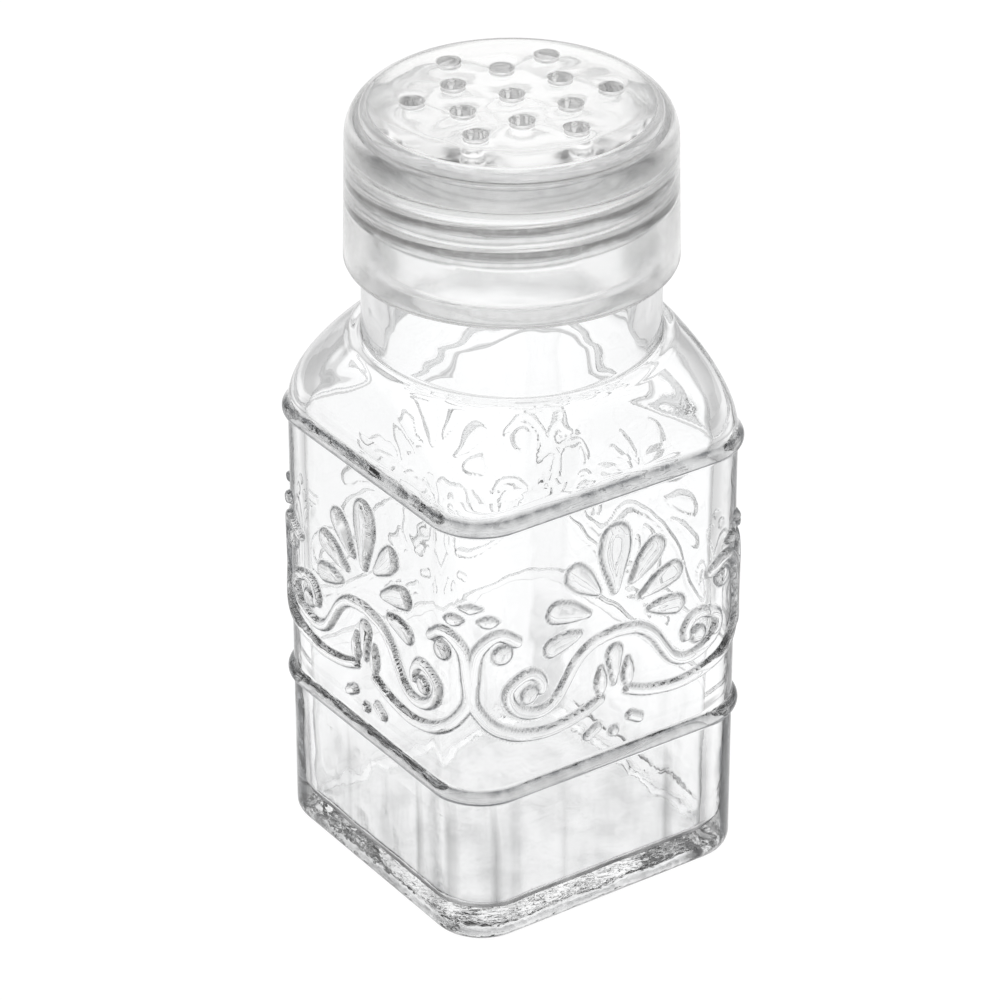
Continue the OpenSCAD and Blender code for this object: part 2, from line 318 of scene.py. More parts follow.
# %% Bounces
BOUNCES = 24
scene = bpy.context.scene
scene.view_settings.view_transform = "Standard"
scene.cycles.max_bounces = BOUNCES
scene.cycles.transmission_bounces = BOUNCES
scene.cycles.transparent_max_bounces = BOUNCES
scene.cycles.glossy_bounces = BOUNCES // 2
print("most bounces of a ray:", scene.cycles.max_bounces)

# %% [markdown]
# ## Outline of the jar at any height
# Every level of the jar is a rounded square, from the square body to the full
# circle of the neck. Seen from the axis, its radius depends on the direction
# only: a straight line over a side and an arc over a corner. One function of
# that kind serves the body, the shoulder, the neck and the inside.

# %% Outline
HALF_W = 32.1
CORNER_R = 10.0
FLAT_RUN = HALF_W - CORNER_R
HALF_RUN = FLAT_RUN + CORNER_R * math.pi / 4


def outline_radius(phi, half, corner):
    """Distance from the axis to a rounded square, in the direction phi."""
    off = np.abs((phi + math.pi / 4) % (math.pi / 2) - math.pi / 4)
    middle = (half - corner) * math.sqrt(2)
    delta = math.pi / 4 - off
    arc = middle * np.cos(delta) + np.sqrt(np.maximum(corner ** 2 - (middle * np.sin(delta)) ** 2, 0))
    flat = half / np.cos(off)
    return np.where(half * np.tan(off) <= half - corner, flat, arc)


def corner_turn(run):
    """How far the outline has turned at this run, away from the middle of its side."""
    return np.clip((np.abs(run) - FLAT_RUN) / CORNER_R, 0, math.pi / 4) * np.where(run < 0, -1, 1)


def run_to_direction(run):
    """Direction, from the middle of a side, of a point at this run along the body's outline."""
    turn = np.abs(corner_turn(run))
    x = np.where(turn > 0, FLAT_RUN + CORNER_R * np.cos(turn), HALF_W)
    y = np.where(turn > 0, FLAT_RUN + CORNER_R * np.sin(turn), np.abs(run))
    return np.arctan2(y, x) * np.where(run < 0, -1, 1)


print("half a side, measured round to the diagonal: %.2f mm" % HALF_RUN)
print("reach across the corners: %.2f mm" % outline_radius(np.array([math.pi / 4]), HALF_W, CORNER_R)[0])

# %% [markdown]
# ## The scroll relief
# The ornament is one half of a motif, mirrored on each side: a wave that
# curls into a bead, a larger band that sweeps from a hook down over the corner
# and back up, a palmette of seven petals, and a few loose drops and bars. Each
# is a raised bead whose width changes along a soft line, so each is a short
# list of points: run from the middle of the side, height, and half width.

# %% Beads of the relief
WAVE = [
    (0, 57.9, 1.1), (5, 57, 1.1), (8.4, 54.5, 1.1), (10.8, 51, 1.1), (12.8, 48.3, 1.1),
    (15.5, 46.9, 1.15), (18.5, 47.2, 1.15), (21.5, 49, 1.15), (23, 51.5, 1.15),
    (22.8, 53.8, 1.1), (20, 55.3, 1.1), (17.5, 55, 1.1), (16, 53, 1.1), (16, 51.5, 1.1),
]
BAND = [
    (21.3, 63, 1.1), (25.1, 65.3, 1.15), (28.5, 62.3, 1.2), (29.4, 56.5, 1.2), (29.6, 52, 1.2),
    (28.1, 48.8, 1.2), (25.3, 45.8, 1.2), (20.2, 43.2, 1.2), (14.3, 42.1, 1.15), (7.7, 43, 1.1),
    (3.1, 44.7, 1.0),
]
CURL_BEAD = [(18.7, 51.1, 1.9)]
HOOK_BEAD = [(24.2, 61.2, 2.05)]
LOW_BEAD = [(0, 36.9, 1.1)]
PETALS = [
    [(0, 77, 3.3), (0, 74.6, 3.4), (0, 70.5, 2.2), (0, 66.5, 0.8)],
    [(8.6, 72.4, 2.4), (6.9, 70.6, 2.3), (3.7, 67.3, 0.7)],
    [(12.7, 66.1, 2.3), (10, 65.2, 2.1), (5.8, 63.5, 0.7)],
    [(13.6, 59.1, 2.0), (11, 59.7, 1.8), (7.8, 60.1, 0.7)],
]
DROPS = [
    [(0, 53.5, 1.9), (0, 50.5, 1.3), (0, 47, 0.5)],
    [(3, 45.6, 0.5), (3, 48.2, 1.4), (3, 51.2, 0.6)],
]
BARS = [
    [(3.7, 39, 1.0), (5.7, 37.8, 1.0)],
    [(25, 68.1, 0.35), (26.8, 68.3, 1.2), (28.6, 68.5, 0.35)],
    [(28, 71, 0.35), (29.95, 71, 1.0)],
]
BEADS = [WAVE, BAND, CURL_BEAD, HOOK_BEAD, LOW_BEAD] + PETALS + DROPS + BARS
LINE_STEP = 0.12
# Samples below the first run are repeated across the middle of the side, and
# samples past the second one across the corner
MIDDLE_REACH = 6
CORNER_REACH = 24


def smooth_line(points):
    """Samples of a Catmull-Rom line through (run, height, half width)."""
    p = np.array(points, float)
    if len(p) == 1:
        return p
    p = np.vstack([2 * p[0] - p[1], p, 2 * p[-1] - p[-2]])
    rows = []
    for a, b, c, d in zip(p, p[1:], p[2:], p[3:]):
        count = max(2, int(np.hypot(*(c - b)[:2]) / LINE_STEP))
        t = np.linspace(0, 1, count, endpoint=False)[:, None]
        rows.append(0.5 * (2 * b + (c - a) * t + (2 * a - 5 * b + 4 * c - d) * t ** 2
                           + (3 * b - a - 3 * c + d) * t ** 3))
    rows.append(p[-2:-1])
    return np.vstack(rows)


def bead_samples():
    """Samples of every bead of one half side, with those next to its two borders."""
    half = np.vstack([smooth_line(bead) for bead in BEADS])
    over_middle = half[half[:, 0] < MIDDLE_REACH] * (-1, 1, 1)
    over_corner = half * (-1, 1, 1) + (2 * HALF_RUN, 0, 0)
    over_corner = over_corner[over_corner[:, 0] < 2 * HALF_RUN - CORNER_REACH]
    return np.vstack([half, over_corner, over_middle])


SAMPLES = bead_samples()
print("relief: %d beads, %d samples" % (len(BEADS), len(SAMPLES)))

# %% [markdown]
# The height of the glass at a place comes from the bead that is nearest there,
# measured in half widths. Narrow beads are nearly half round. Wide petals are
# no higher, so they are low cushions with softer flanks.

# %% Height of the relief
BEAD_H = 1.0
NARROW_RISE = 0.95
WIDE_HALF_W = 1.4
NARROW_POWER = 0.42
WIDE_POWER_GAIN = 0.2
BATCH = 4000


def nearest_bead(run, z):
    """Distance to the nearest bead in half widths of it, and which sample that is."""
    share = np.empty(run.shape)
    pick = np.empty(run.shape, int)
    for start in range(0, len(run), BATCH):
        s = slice(start, start + BATCH)
        gap = np.hypot(run[s, None] - SAMPLES[None, :, 0], z[s, None] - SAMPLES[None, :, 1])
        shares = gap / SAMPLES[None, :, 2]
        pick[s] = shares.argmin(1)
        share[s] = shares.min(1)
    return share, pick


def bead_height(share, half_width):
    height = np.minimum(BEAD_H, NARROW_RISE * half_width)
    power = NARROW_POWER + WIDE_POWER_GAIN * np.clip(half_width - WIDE_HALF_W, 0, 1)
    return height * np.maximum(1 - share ** 2, 0) ** power


print("full height of a bead: %.2f mm" % bead_height(np.array([0.0]), np.array([1.1]))[0])

# %% [markdown]
# ## Levels of the jar
# The wall is one long list of levels: out from under the base, up the outside,
# over the rim, down the inside and in to the middle of the floor. Each level is
# a height, a half width and a corner radius, which is all that a rounded square
# needs. The levels lie closer together where the wall curves, on the ribs and
# in the rounds.

# %% Levels from the base to the upper rib
HEEL_R = 2.5
BEARING_W = 5.0
PUSH_UP_LEVELS = ((4.0, 1.0), (2.8, 0.96), (1.8, 0.78), (1.0, 0.5), (0.3, 0.2), (-0.3, 0.04), (-0.9, 0.0))
HEEL_STEPS = 7
BODY_H = 88.0
RIB_ZS = (31.6, 87.0)
RIB_R = 1.8
RIB_OUT = 1.1
WALL_STEP = 1.0
# Levels closer to a rib than this follow its round in small steps
RIB_ZONE = 2.3
RIB_STEP = 0.32
# The last bit of the upper rib, above the straight side
RIB_TAIL_RISE = 0.45
RIB_TAIL_OUT = 0.38


def base_levels():
    levels = []
    for inset, z in PUSH_UP_LEVELS:
        levels.append((z, HALF_W - BEARING_W - inset, (CORNER_R - inset) / 2))
    for i in range(HEEL_STEPS + 1):
        a = math.pi / 2 * i / HEEL_STEPS
        inset = HEEL_R * (1 - math.sin(a))
        levels.append((HEEL_R * (1 - math.cos(a)), HALF_W - inset, CORNER_R - inset))
    return levels


def rib_bulge(z):
    """How far the nearest rib stands out of the wall at a height."""
    away = min(abs(z - rib) for rib in RIB_ZS)
    return max(0.0, math.sqrt(max(RIB_R ** 2 - away ** 2, 0)) - (RIB_R - RIB_OUT))


def wall_levels():
    levels = []
    z = HEEL_R + WALL_STEP
    while z < BODY_H - 0.4:
        levels.append((z, HALF_W + rib_bulge(z), CORNER_R + rib_bulge(z)))
        near_rib = min(abs(z - rib) for rib in RIB_ZS) < RIB_ZONE
        z += RIB_STEP if near_rib else WALL_STEP
    levels.append((BODY_H, HALF_W + rib_bulge(BODY_H), CORNER_R + rib_bulge(BODY_H)))
    levels.append((BODY_H + RIB_TAIL_RISE, HALF_W + RIB_TAIL_OUT, CORNER_R + RIB_TAIL_OUT))
    return levels


print("levels up to the shoulder:", len(base_levels() + wall_levels()))

# %% Levels of the shoulder, the neck and the finish
NECK_Z = 105.5
NECK_R = 27.0
NECK_FILLET = 1.2
FINISH_Z = 123.2
FINISH_R = 25.7
FINISH_STEP = 0.6
RIM_Z = 146.2
LIP_R = 1.2
BORE_R = 22.5
SHOULDER_START = BODY_H + 0.8
SHOULDER_STEPS = 34
DOME_SPACING = 0.8
SIDE_CURVE = (2.5, 2.5)
CORNER_CURVE = (1.9, 1.13)


def round_share(rise, power, fall):
    """Share of the way in that is still left at a share of the way up."""
    return max(0.0, 1 - rise ** power) ** (1 / fall)


def dome(foot_z, top_z, half, corner, top_r, steps):
    """Levels from a rounded square up to a circle, with a curve for the sides and one for the corners."""
    reach = (half - corner) * math.sqrt(2) + corner
    levels = []
    for i in range(1, steps + 1):
        rise = math.sin(math.pi / 2 * i / steps) ** DOME_SPACING
        side = top_r + (half - top_r) * round_share(rise, *SIDE_CURVE)
        diagonal = top_r + (reach - top_r) * round_share(rise, *CORNER_CURVE)
        corner_r = min(side, (side * math.sqrt(2) - diagonal) / (math.sqrt(2) - 1))
        levels.append((foot_z + (top_z - foot_z) * rise, side, corner_r))
    return levels


def shoulder_levels():
    shoulder = dome(BODY_H, NECK_Z, HALF_W, CORNER_R, NECK_R + NECK_FILLET, SHOULDER_STEPS)
    return [level for level in shoulder if level[0] > SHOULDER_START]


def neck_levels():
    rings = []
    for degrees in range(15, 91, 15):
        a = math.radians(degrees)
        rings.append((NECK_Z + NECK_FILLET * (1 - math.cos(a)), NECK_R + NECK_FILLET * (1 - math.sin(a))))
    for z in np.linspace(NECK_Z + NECK_FILLET + 2, FINISH_Z - 0.4, 6):
        rings.append((z, NECK_R))
    rings += [(FINISH_Z - 0.1, NECK_R - 0.1), (FINISH_Z, NECK_R - 0.5)]
    for z in np.arange(FINISH_Z + 0.02, RIM_Z - 3.2, FINISH_STEP):
        rings.append((z, FINISH_R))
    rings.append((RIM_Z - 2 * LIP_R, FINISH_R))
    for i in range(6):
        a = math.radians(18 * i)
        rings.append((RIM_Z - LIP_R * (1 - math.sin(a)), FINISH_R - LIP_R * (1 - math.cos(a))))
    for i in range(6):
        a = math.radians(90 + 18 * i)
        rings.append((RIM_Z - LIP_R * (1 - math.sin(a)), BORE_R + LIP_R * (1 + math.cos(a))))
    for z in np.linspace(RIM_Z - 4, NECK_Z - 0.6, 6):
        rings.append((z, BORE_R))
    return [(z, r, r) for z, r in rings]


print("levels of the shoulder and the neck:", len(shoulder_levels() + neck_levels()))

# %% Levels of the inside
WALL_T = 3.8
WALL_DRAFT = 0.7
BASE_T = 5.0
INNER_CORNER_R = 7.0
FLOOR_ROUND = 2.5
FLOOR_STEPS = 7
INNER_DOME_STEPS = 30


def inside_levels():
    top_half = HALF_W - WALL_T
    foot_half = top_half - WALL_DRAFT
    top_z = BODY_H - WALL_T / 2
    foot_z = BASE_T + FLOOR_ROUND
    under_dome = dome(top_z, NECK_Z - WALL_T / 2, top_half, INNER_CORNER_R, BORE_R, INNER_DOME_STEPS)
    levels = under_dome[:-1][::-1]
    for z in np.linspace(top_z, foot_z, 8):
        half = foot_half + (top_half - foot_half) * (z - foot_z) / (top_z - foot_z)
        levels.append((z, half, INNER_CORNER_R))
    for i in range(1, FLOOR_STEPS + 1):
        a = math.pi / 2 * (1 - i / FLOOR_STEPS)
        inset = FLOOR_ROUND * (1 - math.sin(a))
        z = BASE_T + FLOOR_ROUND * (1 - math.cos(a))
        levels.append((z, foot_half - inset, INNER_CORNER_R - inset / 2))
    # The last level lies on the flat floor, and the hole inside it is filled later
    levels.append((BASE_T, foot_half - FLOOR_ROUND - 2, INNER_CORNER_R - FLOOR_ROUND / 2 - 1))
    return levels


LEVELS = np.array(base_levels() + wall_levels() + shoulder_levels() + neck_levels() + inside_levels())
print("levels of the jar:", len(LEVELS))

# %% [markdown]
# ## Screw thread
# The thread is a rounded ridge that climbs by one pitch in each turn and fades
# in and out at its ends. The same function raises it on the glass and, half a
# pitch higher, inside the cap, so that the two run between each other.

# %% Thread
THREAD_START = 129.06
THREAD_PITCH = 4.5
THREAD_HALF = 1.3
THREAD_H = 1.3
THREAD_TURNS = 1.95
# An end of the thread fades over one part in this many of a turn
THREAD_FADE = 12


def thread_height(phi, z, start, turns, height, power):
    """Height of a right-handed thread that starts at this height and runs for this many turns."""
    best = np.zeros(phi.shape)
    for lap in range(math.ceil(turns)):
        turned = (phi % (2 * math.pi)) / (2 * math.pi) + lap
        fading = np.clip(np.minimum(turned, turns - turned) * THREAD_FADE, 0, 1)
        gap = np.abs(z - (start + THREAD_PITCH * turned)) / THREAD_HALF
        best = np.maximum(best, np.maximum(1 - gap ** 2, 0) ** power * height * fading)
    return best


print("thread on the glass climbs to %.1f mm" % (THREAD_START + THREAD_TURNS * THREAD_PITCH))

# %% [markdown]
# ## Glass jar
# A sheet of quads is cut finer where the relief lies, while it is still flat,
# and then wrapped round the levels. That keeps the mesh even and puts the
# small faces only where the light needs them.

# %% Cut the flat sheet
COLUMNS = 208
ROWS = len(LEVELS) - 1
# Rows of the outside, up to the top of the rim
OUTSIDE_ROWS = int(np.argmax(LEVELS[:, 0]))
CUTS = 2
CUT_ZS = (33.0, 84.0)
CUT_MARGIN = 0.4


def sheet_places(bm):
    """Side, run on that side, row and level of every point of the flat sheet."""
    flat = np.array([v.co for v in bm.verts])
    column = (flat[:, 0] + 1) * (COLUMNS / 2)
    row = (flat[:, 1] + 1) * (ROWS / 2)
    round_run = column / COLUMNS * 8 * HALF_RUN
    side = np.floor(round_run / (2 * HALF_RUN) + 1e-9)
    run = round_run - side * 2 * HALF_RUN - HALF_RUN
    lower = np.clip(row.astype(int), 0, ROWS - 1)
    part = (row - lower)[:, None]
    return side, run, row, LEVELS[lower] * (1 - part) + LEVELS[lower + 1] * part


def cut_sheet():
    bm = bmesh.new()
    bmesh.ops.create_grid(bm, x_segments=COLUMNS, y_segments=ROWS, size=1.0)
    side, run, row, level = sheet_places(bm)
    z = level[:, 0]
    on_panel = (row < OUTSIDE_ROWS) & (z > CUT_ZS[0]) & (z < CUT_ZS[1])
    share, pick = nearest_bead(np.abs(run[on_panel]), z[on_panel])
    close = np.zeros(run.shape, bool)
    close[on_panel] = (share - 1) * SAMPLES[pick, 2] < CUT_MARGIN
    bm.verts.ensure_lookup_table()
    cut = [e for e in bm.edges if any(close[v.index] for f in e.link_faces for v in f.verts)]
    bmesh.ops.subdivide_edges(bm, edges=cut, cuts=CUTS, use_grid_fill=True)
    bm.verts.index_update()
    return bm


sheet = cut_sheet()
print("jar sheet: %d faces after cutting" % len(sheet.faces))

# %% [markdown]
# Points that lie close to the foot of a bead are moved on to it, so that its
# outline is a clean line through the mesh and not a row of steps. The same
# step measures how near a point is to the foot of a bead, for the painted shade
# along the flanks below.

# %% Press the relief
PANEL_ZS = (33.5, 83.5)
SNAP = 0.5 / (CUTS + 1)
# Points nearer to a bead's middle line than this share of its half width stay where they are
SNAP_SHARE = 0.3
# Painted shade along the foot of each bead, centred this far inside it and this wide, and a weaker painted
# shade inside petals wider than this
FLANK_SHADE_IN = 0.12
FLANK_SHADE_W = 0.3
PETAL_HALF_W = 1.3
PETAL_SHADE = 0.15


def press(run, z):
    """New run and height of points on the panel, their lift, and the strength of painted shade along bead
    flanks and inside wide petals.
    """
    away = np.abs(run)
    share, pick = nearest_bead(away, z)
    width = SAMPLES[pick, 2]
    gap = (share - 1) * width
    snap = (np.abs(gap) < SNAP) & (share > SNAP_SHARE)
    out_run = away - SAMPLES[pick, 0]
    out_z = z - SAMPLES[pick, 1]
    shift = np.where(snap, gap / np.maximum(np.hypot(out_run, out_z), 1e-6), 0)
    on_border = (away < 1e-6) | (away > HALF_RUN - 1e-6)
    new_run = np.where(on_border, away, away - out_run * shift)
    lift = np.where(snap, 0, bead_height(share, width))
    flank_shade = np.exp(-((gap + FLANK_SHADE_IN) / FLANK_SHADE_W) ** 2)
    petal_shade = np.where((share < 1) & (width > PETAL_HALF_W), PETAL_SHADE, 0)
    return np.where(run < 0, -new_run, new_run), z - out_z * shift, lift, flank_shade + petal_shade


print("points closer than %.2f mm to the foot of a bead move on to it" % SNAP)

# %% [markdown]
# ## Painted shade on the glass
# In a bright room the steep parts of clear glass would nearly vanish, while a
# real jar shows them in grey. Here that grey is painted shade. Each point
# therefore stores three strengths of painted shade: "edge" for flanks, ribs,
# bends, lip and thread, "line" for dark lines low on the inside, and "corner"
# for the outer corners. The material reads them as attributes, so they hold
# from every side.

# %% Painted shade marks of the jar
# Strengths of painted shade on the ribs, the thread, the lip, the bends of the foot and the inner corners,
# in upright streaks and a line round the floor inside, and on the outer corners
RIB_SHADE_HALF = 1.55
RIB_SHADE_RISE = 1.45
RIB_SHADES = (0.55, 0.45)
THREAD_SHADE = 0.45
LIP_SHADE = 0.45
LIP_FOOT_Z = RIM_Z - 3.4
# The plain foot under the lower rib, and the two bends on each of its sides
FOOT_ZS = (4.0, 29.6)
BEND_RUN = 21.3
BEND_W = 1.4
BEND_SHADE = 0.4
INNER_CORNER_RUN = HALF_RUN - 3.5
INNER_CORNER_SHADES = (0.4, 0.1)
# Upright streaks of painted shade: run from the middle of a side, and strength
SHADE_STREAKS = ((-26.5, 0.5), (-10.5, 0.25), (16.5, 0.6), (25.8, 0.7))
STREAK_W = 0.9
STREAK_FOOT_Z = BASE_T + 0.5
FLOOR_SHADE_LINE_ZS = (BASE_T, BASE_T + 1.8)
CORNER_START = 21.0
CORNER_W = 3.0
CORNER_ZS = (3.0, 31.0, 86.0)
CORNER_SHADES = (1.0, 0.45)


def hump(value, middle, width):
    """Soft mark that is strongest at the middle."""
    return np.exp(-((value - middle) / width) ** 2)


# Painted shade on the thread, the lip, the ribs, the bends of the foot and the inner corners
def painted_edge_shade(run, z, outside, thread):
    foot, foot_top = FOOT_ZS
    edge = THREAD_SHADE * thread / THREAD_H + np.where(outside & (z > LIP_FOOT_Z), LIP_SHADE, 0)
    for rib in RIB_ZS:
        on_rib = outside & (np.abs(z - rib) < RIB_SHADE_HALF)
        edge += np.where(on_rib, RIB_SHADES[0] + RIB_SHADES[1] * ((z - rib) / RIB_SHADE_RISE) ** 2, 0)
    on_foot = outside & (z > foot) & (z < foot_top)
    edge += np.where(on_foot, BEND_SHADE * hump(np.abs(run), BEND_RUN, BEND_W), 0)
    in_corner = ~outside & (np.abs(run) > INNER_CORNER_RUN) & (z > BASE_T) & (z < BODY_H)
    return edge + np.where(in_corner, np.where(z < foot_top, *INNER_CORNER_SHADES), 0)


# Painted dark lines: a line round the floor inside, and upright streaks low on the inside
def painted_line_shade(run, z, inside):
    line = np.where(inside & (z > FLOOR_SHADE_LINE_ZS[0]) & (z < FLOOR_SHADE_LINE_ZS[1]), 1.0, 0.0)
    low = inside & (z > STREAK_FOOT_Z) & (z < FOOT_ZS[1])
    for place, strength in SHADE_STREAKS:
        line += np.where(low, strength * hump(run, place, STREAK_W), 0)
    return line


# Painted shade on the outer corners, stronger below the lower rib
def painted_corner_shade(run, z, outside):
    foot, split, top = CORNER_ZS
    strength = np.where(outside & (z > foot) & (z < top), np.where(z < split, *CORNER_SHADES), 0)
    return strength * np.clip((np.abs(run) - CORNER_START) / CORNER_W, 0, 1)


print("marks: %d streaks on each side" % len(SHADE_STREAKS))

# %% [markdown]
# The flat sheet now gets its place in space. A point goes out from the axis by
# the radius of its level and by the thread, and a point of the relief is also
# lifted square to the wall. The seam is merged, and the two open ends in the
# middle of the base and the floor are filled.

# %% Wrap the sheet
THREAD_ZONE = (FINISH_Z, RIM_Z - 3.0)
THREAD_POWER = 0.5


def wrapped(bm):
    """Place of every point of the sheet in space, and the strengths of painted shade there."""
    side, run, row, level = sheet_places(bm)
    z = level[:, 0].copy()
    outside = row < OUTSIDE_ROWS
    lift = np.zeros(run.shape)
    flank_shade = np.zeros(run.shape)
    panel = outside & (z > PANEL_ZS[0]) & (z < PANEL_ZS[1])
    run[panel], z[panel], lift[panel], flank_shade[panel] = press(run[panel], z[panel])

    phi = run_to_direction(run) + side * math.pi / 2
    on_finish = outside & (z > THREAD_ZONE[0]) & (z < THREAD_ZONE[1])
    thread = thread_height(phi, z, THREAD_START, THREAD_TURNS, THREAD_H, THREAD_POWER)
    thread = np.where(on_finish, thread, 0)
    radius = outline_radius(phi, level[:, 1], level[:, 2]) + thread
    square_to_wall = corner_turn(run) + side * math.pi / 2
    x = radius * np.cos(phi) + lift * np.cos(square_to_wall)
    y = radius * np.sin(phi) + lift * np.sin(square_to_wall)
    return zip(x, y, z), {
        "edge": flank_shade + painted_edge_shade(run, z, outside, thread),
        "line": painted_line_shade(run, z, ~outside),
        "corner": painted_corner_shade(run, z, outside),
    }


def wrap_sheet(bm):
    places, marks = wrapped(bm)
    for name in marks:
        bm.verts.layers.float.new(name)
    for name, strengths in marks.items():
        layer = bm.verts.layers.float[name]
        for v, strength in zip(bm.verts, strengths):
            v[layer] = min(strength, 1.0)
    for v, place in zip(bm.verts, places):
        v.co = place
    bmesh.ops.remove_doubles(bm, verts=bm.verts, dist=0.002)
    bmesh.ops.holes_fill(bm, edges=[e for e in bm.edges if e.is_boundary], sides=0)
    bmesh.ops.recalc_face_normals(bm, faces=bm.faces)


wrap_sheet(sheet)
print("jar shell: %d points, %d open edges" % (len(sheet.verts), sum(e.is_boundary for e in sheet.edges)))

# %% [markdown]
# ## Pressed glass
# Pressed glass is never optically flat: the mould chills it, and flame
# polishing leaves slow waves. A faint noise in a Bump node bends the light that
# way while the mesh keeps its exact size. The foot has upright chill streaks,
# and the heel a fine stipple. Base Color is nearly white and goes to a grey of
# painted shade where a mark lies, where a wall is seen edge-on, and in streaks
# over the foot. A ray meets a wall from outside and from within, and the painted
# shade is counted on its way in only. The painted dark lines low on the inside
# are a matte grey, and show only through the glass.

# %% Glass material
# Heights in metres between which the foot, the heel and the shoulder fade
FOOT_FADE = (0.024, 0.030)
HEEL_FADE = (0.003, 0.007)
SHOULDER_FADE = (0.088, 0.092)
CLEAR_GLASS = (0.995, 0.998, 1.0, 1)
# The colour that painted shade takes in the glass, and the matte grey of the painted dark lines low on the
# inside
GLASS_SHADE_GREY = (0.055, 0.058, 0.063, 1)
LINE_SHADE_GREY = (0.12, 0.12, 0.125, 1)


def glass_height(tree, place, z, chill, mould):
    """Height of the surface for the Bump node: slow waves, and more than that in some places."""
    foot = tree.fade(z, *FOOT_FADE, 1.0, 0.0)
    heel = tree.fade(z, *HEEL_FADE, 1.0, 0.0)
    shoulder = tree.fade(z, *SHOULDER_FADE, 0.0, 1.0)
    waves = tree.noise(place, 110.0, 1.0)
    slow = tree.noise(place, 75.0, 1.0)
    stipple = tree.node("ShaderNodeTexVoronoi", {}, {"Vector": place, "Scale": 620.0}, "Distance")
    height = waves + foot * (waves * 2.0 + chill * 0.8) + heel * stipple * 0.35
    return height + tree.mark("edge") * mould * 0.8 + shoulder * slow * 4.0


def glass_material():
    material = bpy.data.materials.new("pressed glass")
    tree = Shader(material)
    place = tree.place()
    z = tree.axis(place, "Z")
    tall = tree.node("ShaderNodeVectorMath", {"operation": "MULTIPLY"}, {0: place, 1: (1.0, 1.0, 0.25)})
    chill = tree.noise(tall, 150.0, 3.0)
    mould = tree.noise(place, 420.0, 2.0)
    bump = tree.bump(0.14, 0.001, glass_height(tree, place, z, chill, mould))

    # Painted shade: grey on walls seen edge-on, on the outer corners as they turn away, on the stored edge
    # and corner marks, and in streaks over the foot; the mould noise varies how dark it is
    facing = tree.facing_away(bump)
    edge_on_shade = tree.ramp(facing, [(0.51, 0.0), (0.63, 0.3), (1.0, 1.0)])
    turned_away = tree.ramp(facing, [(0.42, 0.0), (0.56, 1.0)])
    tone = tree.ramp(mould, [(0.32, 0.0), (0.68, 1.0)]) * 0.35 + 0.78
    streaks = tree.ramp(chill, [(0.36, 0.0), (0.5, 0.3), (0.66, 1.0)])
    painted_shade = (tree.mark("edge") + tree.mark("corner") * turned_away) * tone
    painted_shade = painted_shade + streaks * tree.fade(z, *FOOT_FADE, 0.3, 0.0) + edge_on_shade
    far_side = tree.far_side()
    colour = tree.mix((painted_shade * (1 - far_side * 0.95)).clamp(), CLEAR_GLASS, GLASS_SHADE_GREY)
    clear = tree.node("ShaderNodeBsdfPrincipled", {}, {
        "Base Color": colour, "Roughness": 0.0, "IOR": 1.51, "Transmission Weight": 1.0, "Normal": bump})
    # A matte grey for the painted dark lines low on the inside, seen only through the glass
    grey = tree.node("ShaderNodeBsdfDiffuse", {}, {"Color": LINE_SHADE_GREY})
    line_shade_share = (tree.mark("line") * (chill + 0.3) * far_side).clamp()
    tree.output("ShaderNodeOutputMaterial", tree.mix_shaders(line_shade_share, clear, grey))
    return material


GLASS = glass_material()
print("material:", GLASS.name)

# %% [markdown]
# ## Handing a piece over
# Each finished mesh is scaled to metres, shaded smoothly, and put in the frame
# in the place of the solid that it stands for. Its object stays at the origin.

# %% Hand over the jar


def hand_over(bm, name, material, node, body):
    bmesh.ops.triangulate(bm, faces=[f for f in bm.faces if len(f.verts) > 4])
    bmesh.ops.scale(bm, vec=(MM, MM, MM), verts=bm.verts)
    for face in bm.faces:
        face.smooth = True
    open_edges = sum(not e.is_manifold for e in bm.edges)
    triangles = sum(len(f.verts) - 2 for f in bm.faces)
    mesh = bpy.data.meshes.new(name)
    bm.to_mesh(mesh)
    bm.free()
    mesh.materials.append(material)
    piece = bpy.data.objects.new(name, mesh)
    bpy.context.scene.collection.objects.link(piece)
    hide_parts(node)
    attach(piece, body)
    print("%s: %d triangles, %d open edges" % (name, triangles, open_edges))


hand_over(sheet, "pressed_jar", GLASS, "glass_jar", "jar")

# %% [markdown]
# ## Screw cap
# The cap is turned about its axis, so its side, its bores and the ledge over
# the glass rim come from one spun profile. The ledge is a tenth of a millimetre
# above the rim, because two clear faces in one plane render badly. Above it is
# a shallow chamber under the top plate. The profile starts and ends at the edge
# of the flat plate, which is pierced afterwards.

# %% Profile of the cap
CAP_Z = 120.7
CAP_TOP = 151.6
CAP_FOOT_R = 30.0
CAP_TOP_R = 29.5
CAP_ROUND = 7.6
ROUND_STEPS = 14
DISC_R = CAP_TOP_R - CAP_ROUND
PLATE_T = 2.8
UNDER_Z = CAP_TOP - PLATE_T
SKIRT_BORE_R = 28.25
SEAT_BORE_R = 26.5
SEAT_Z = 141.8
LEDGE_Z = 146.3
CHAMBER_R = 25.0
CHAMBER_ROUND = 0.4


def cap_outside():
    """From the flat plate over the rounded edge and down to the foot of the skirt."""
    points = [(DISC_R, CAP_TOP)]
    for i in range(1, ROUND_STEPS + 1):
        a = math.pi / 2 * (1 - i / ROUND_STEPS)
        points.append((DISC_R + CAP_ROUND * math.cos(a), CAP_TOP - CAP_ROUND * (1 - math.sin(a))))
    side_top = CAP_TOP - CAP_ROUND
    for i in range(1, 8):
        share = i / 8
        points.append((CAP_TOP_R + (CAP_FOOT_R - CAP_TOP_R) * share, side_top + (CAP_Z - side_top) * share))
    return points + [(CAP_FOOT_R, CAP_Z + 0.4), (CAP_FOOT_R - 0.12, CAP_Z + 0.1), (CAP_FOOT_R - 0.4, CAP_Z)]


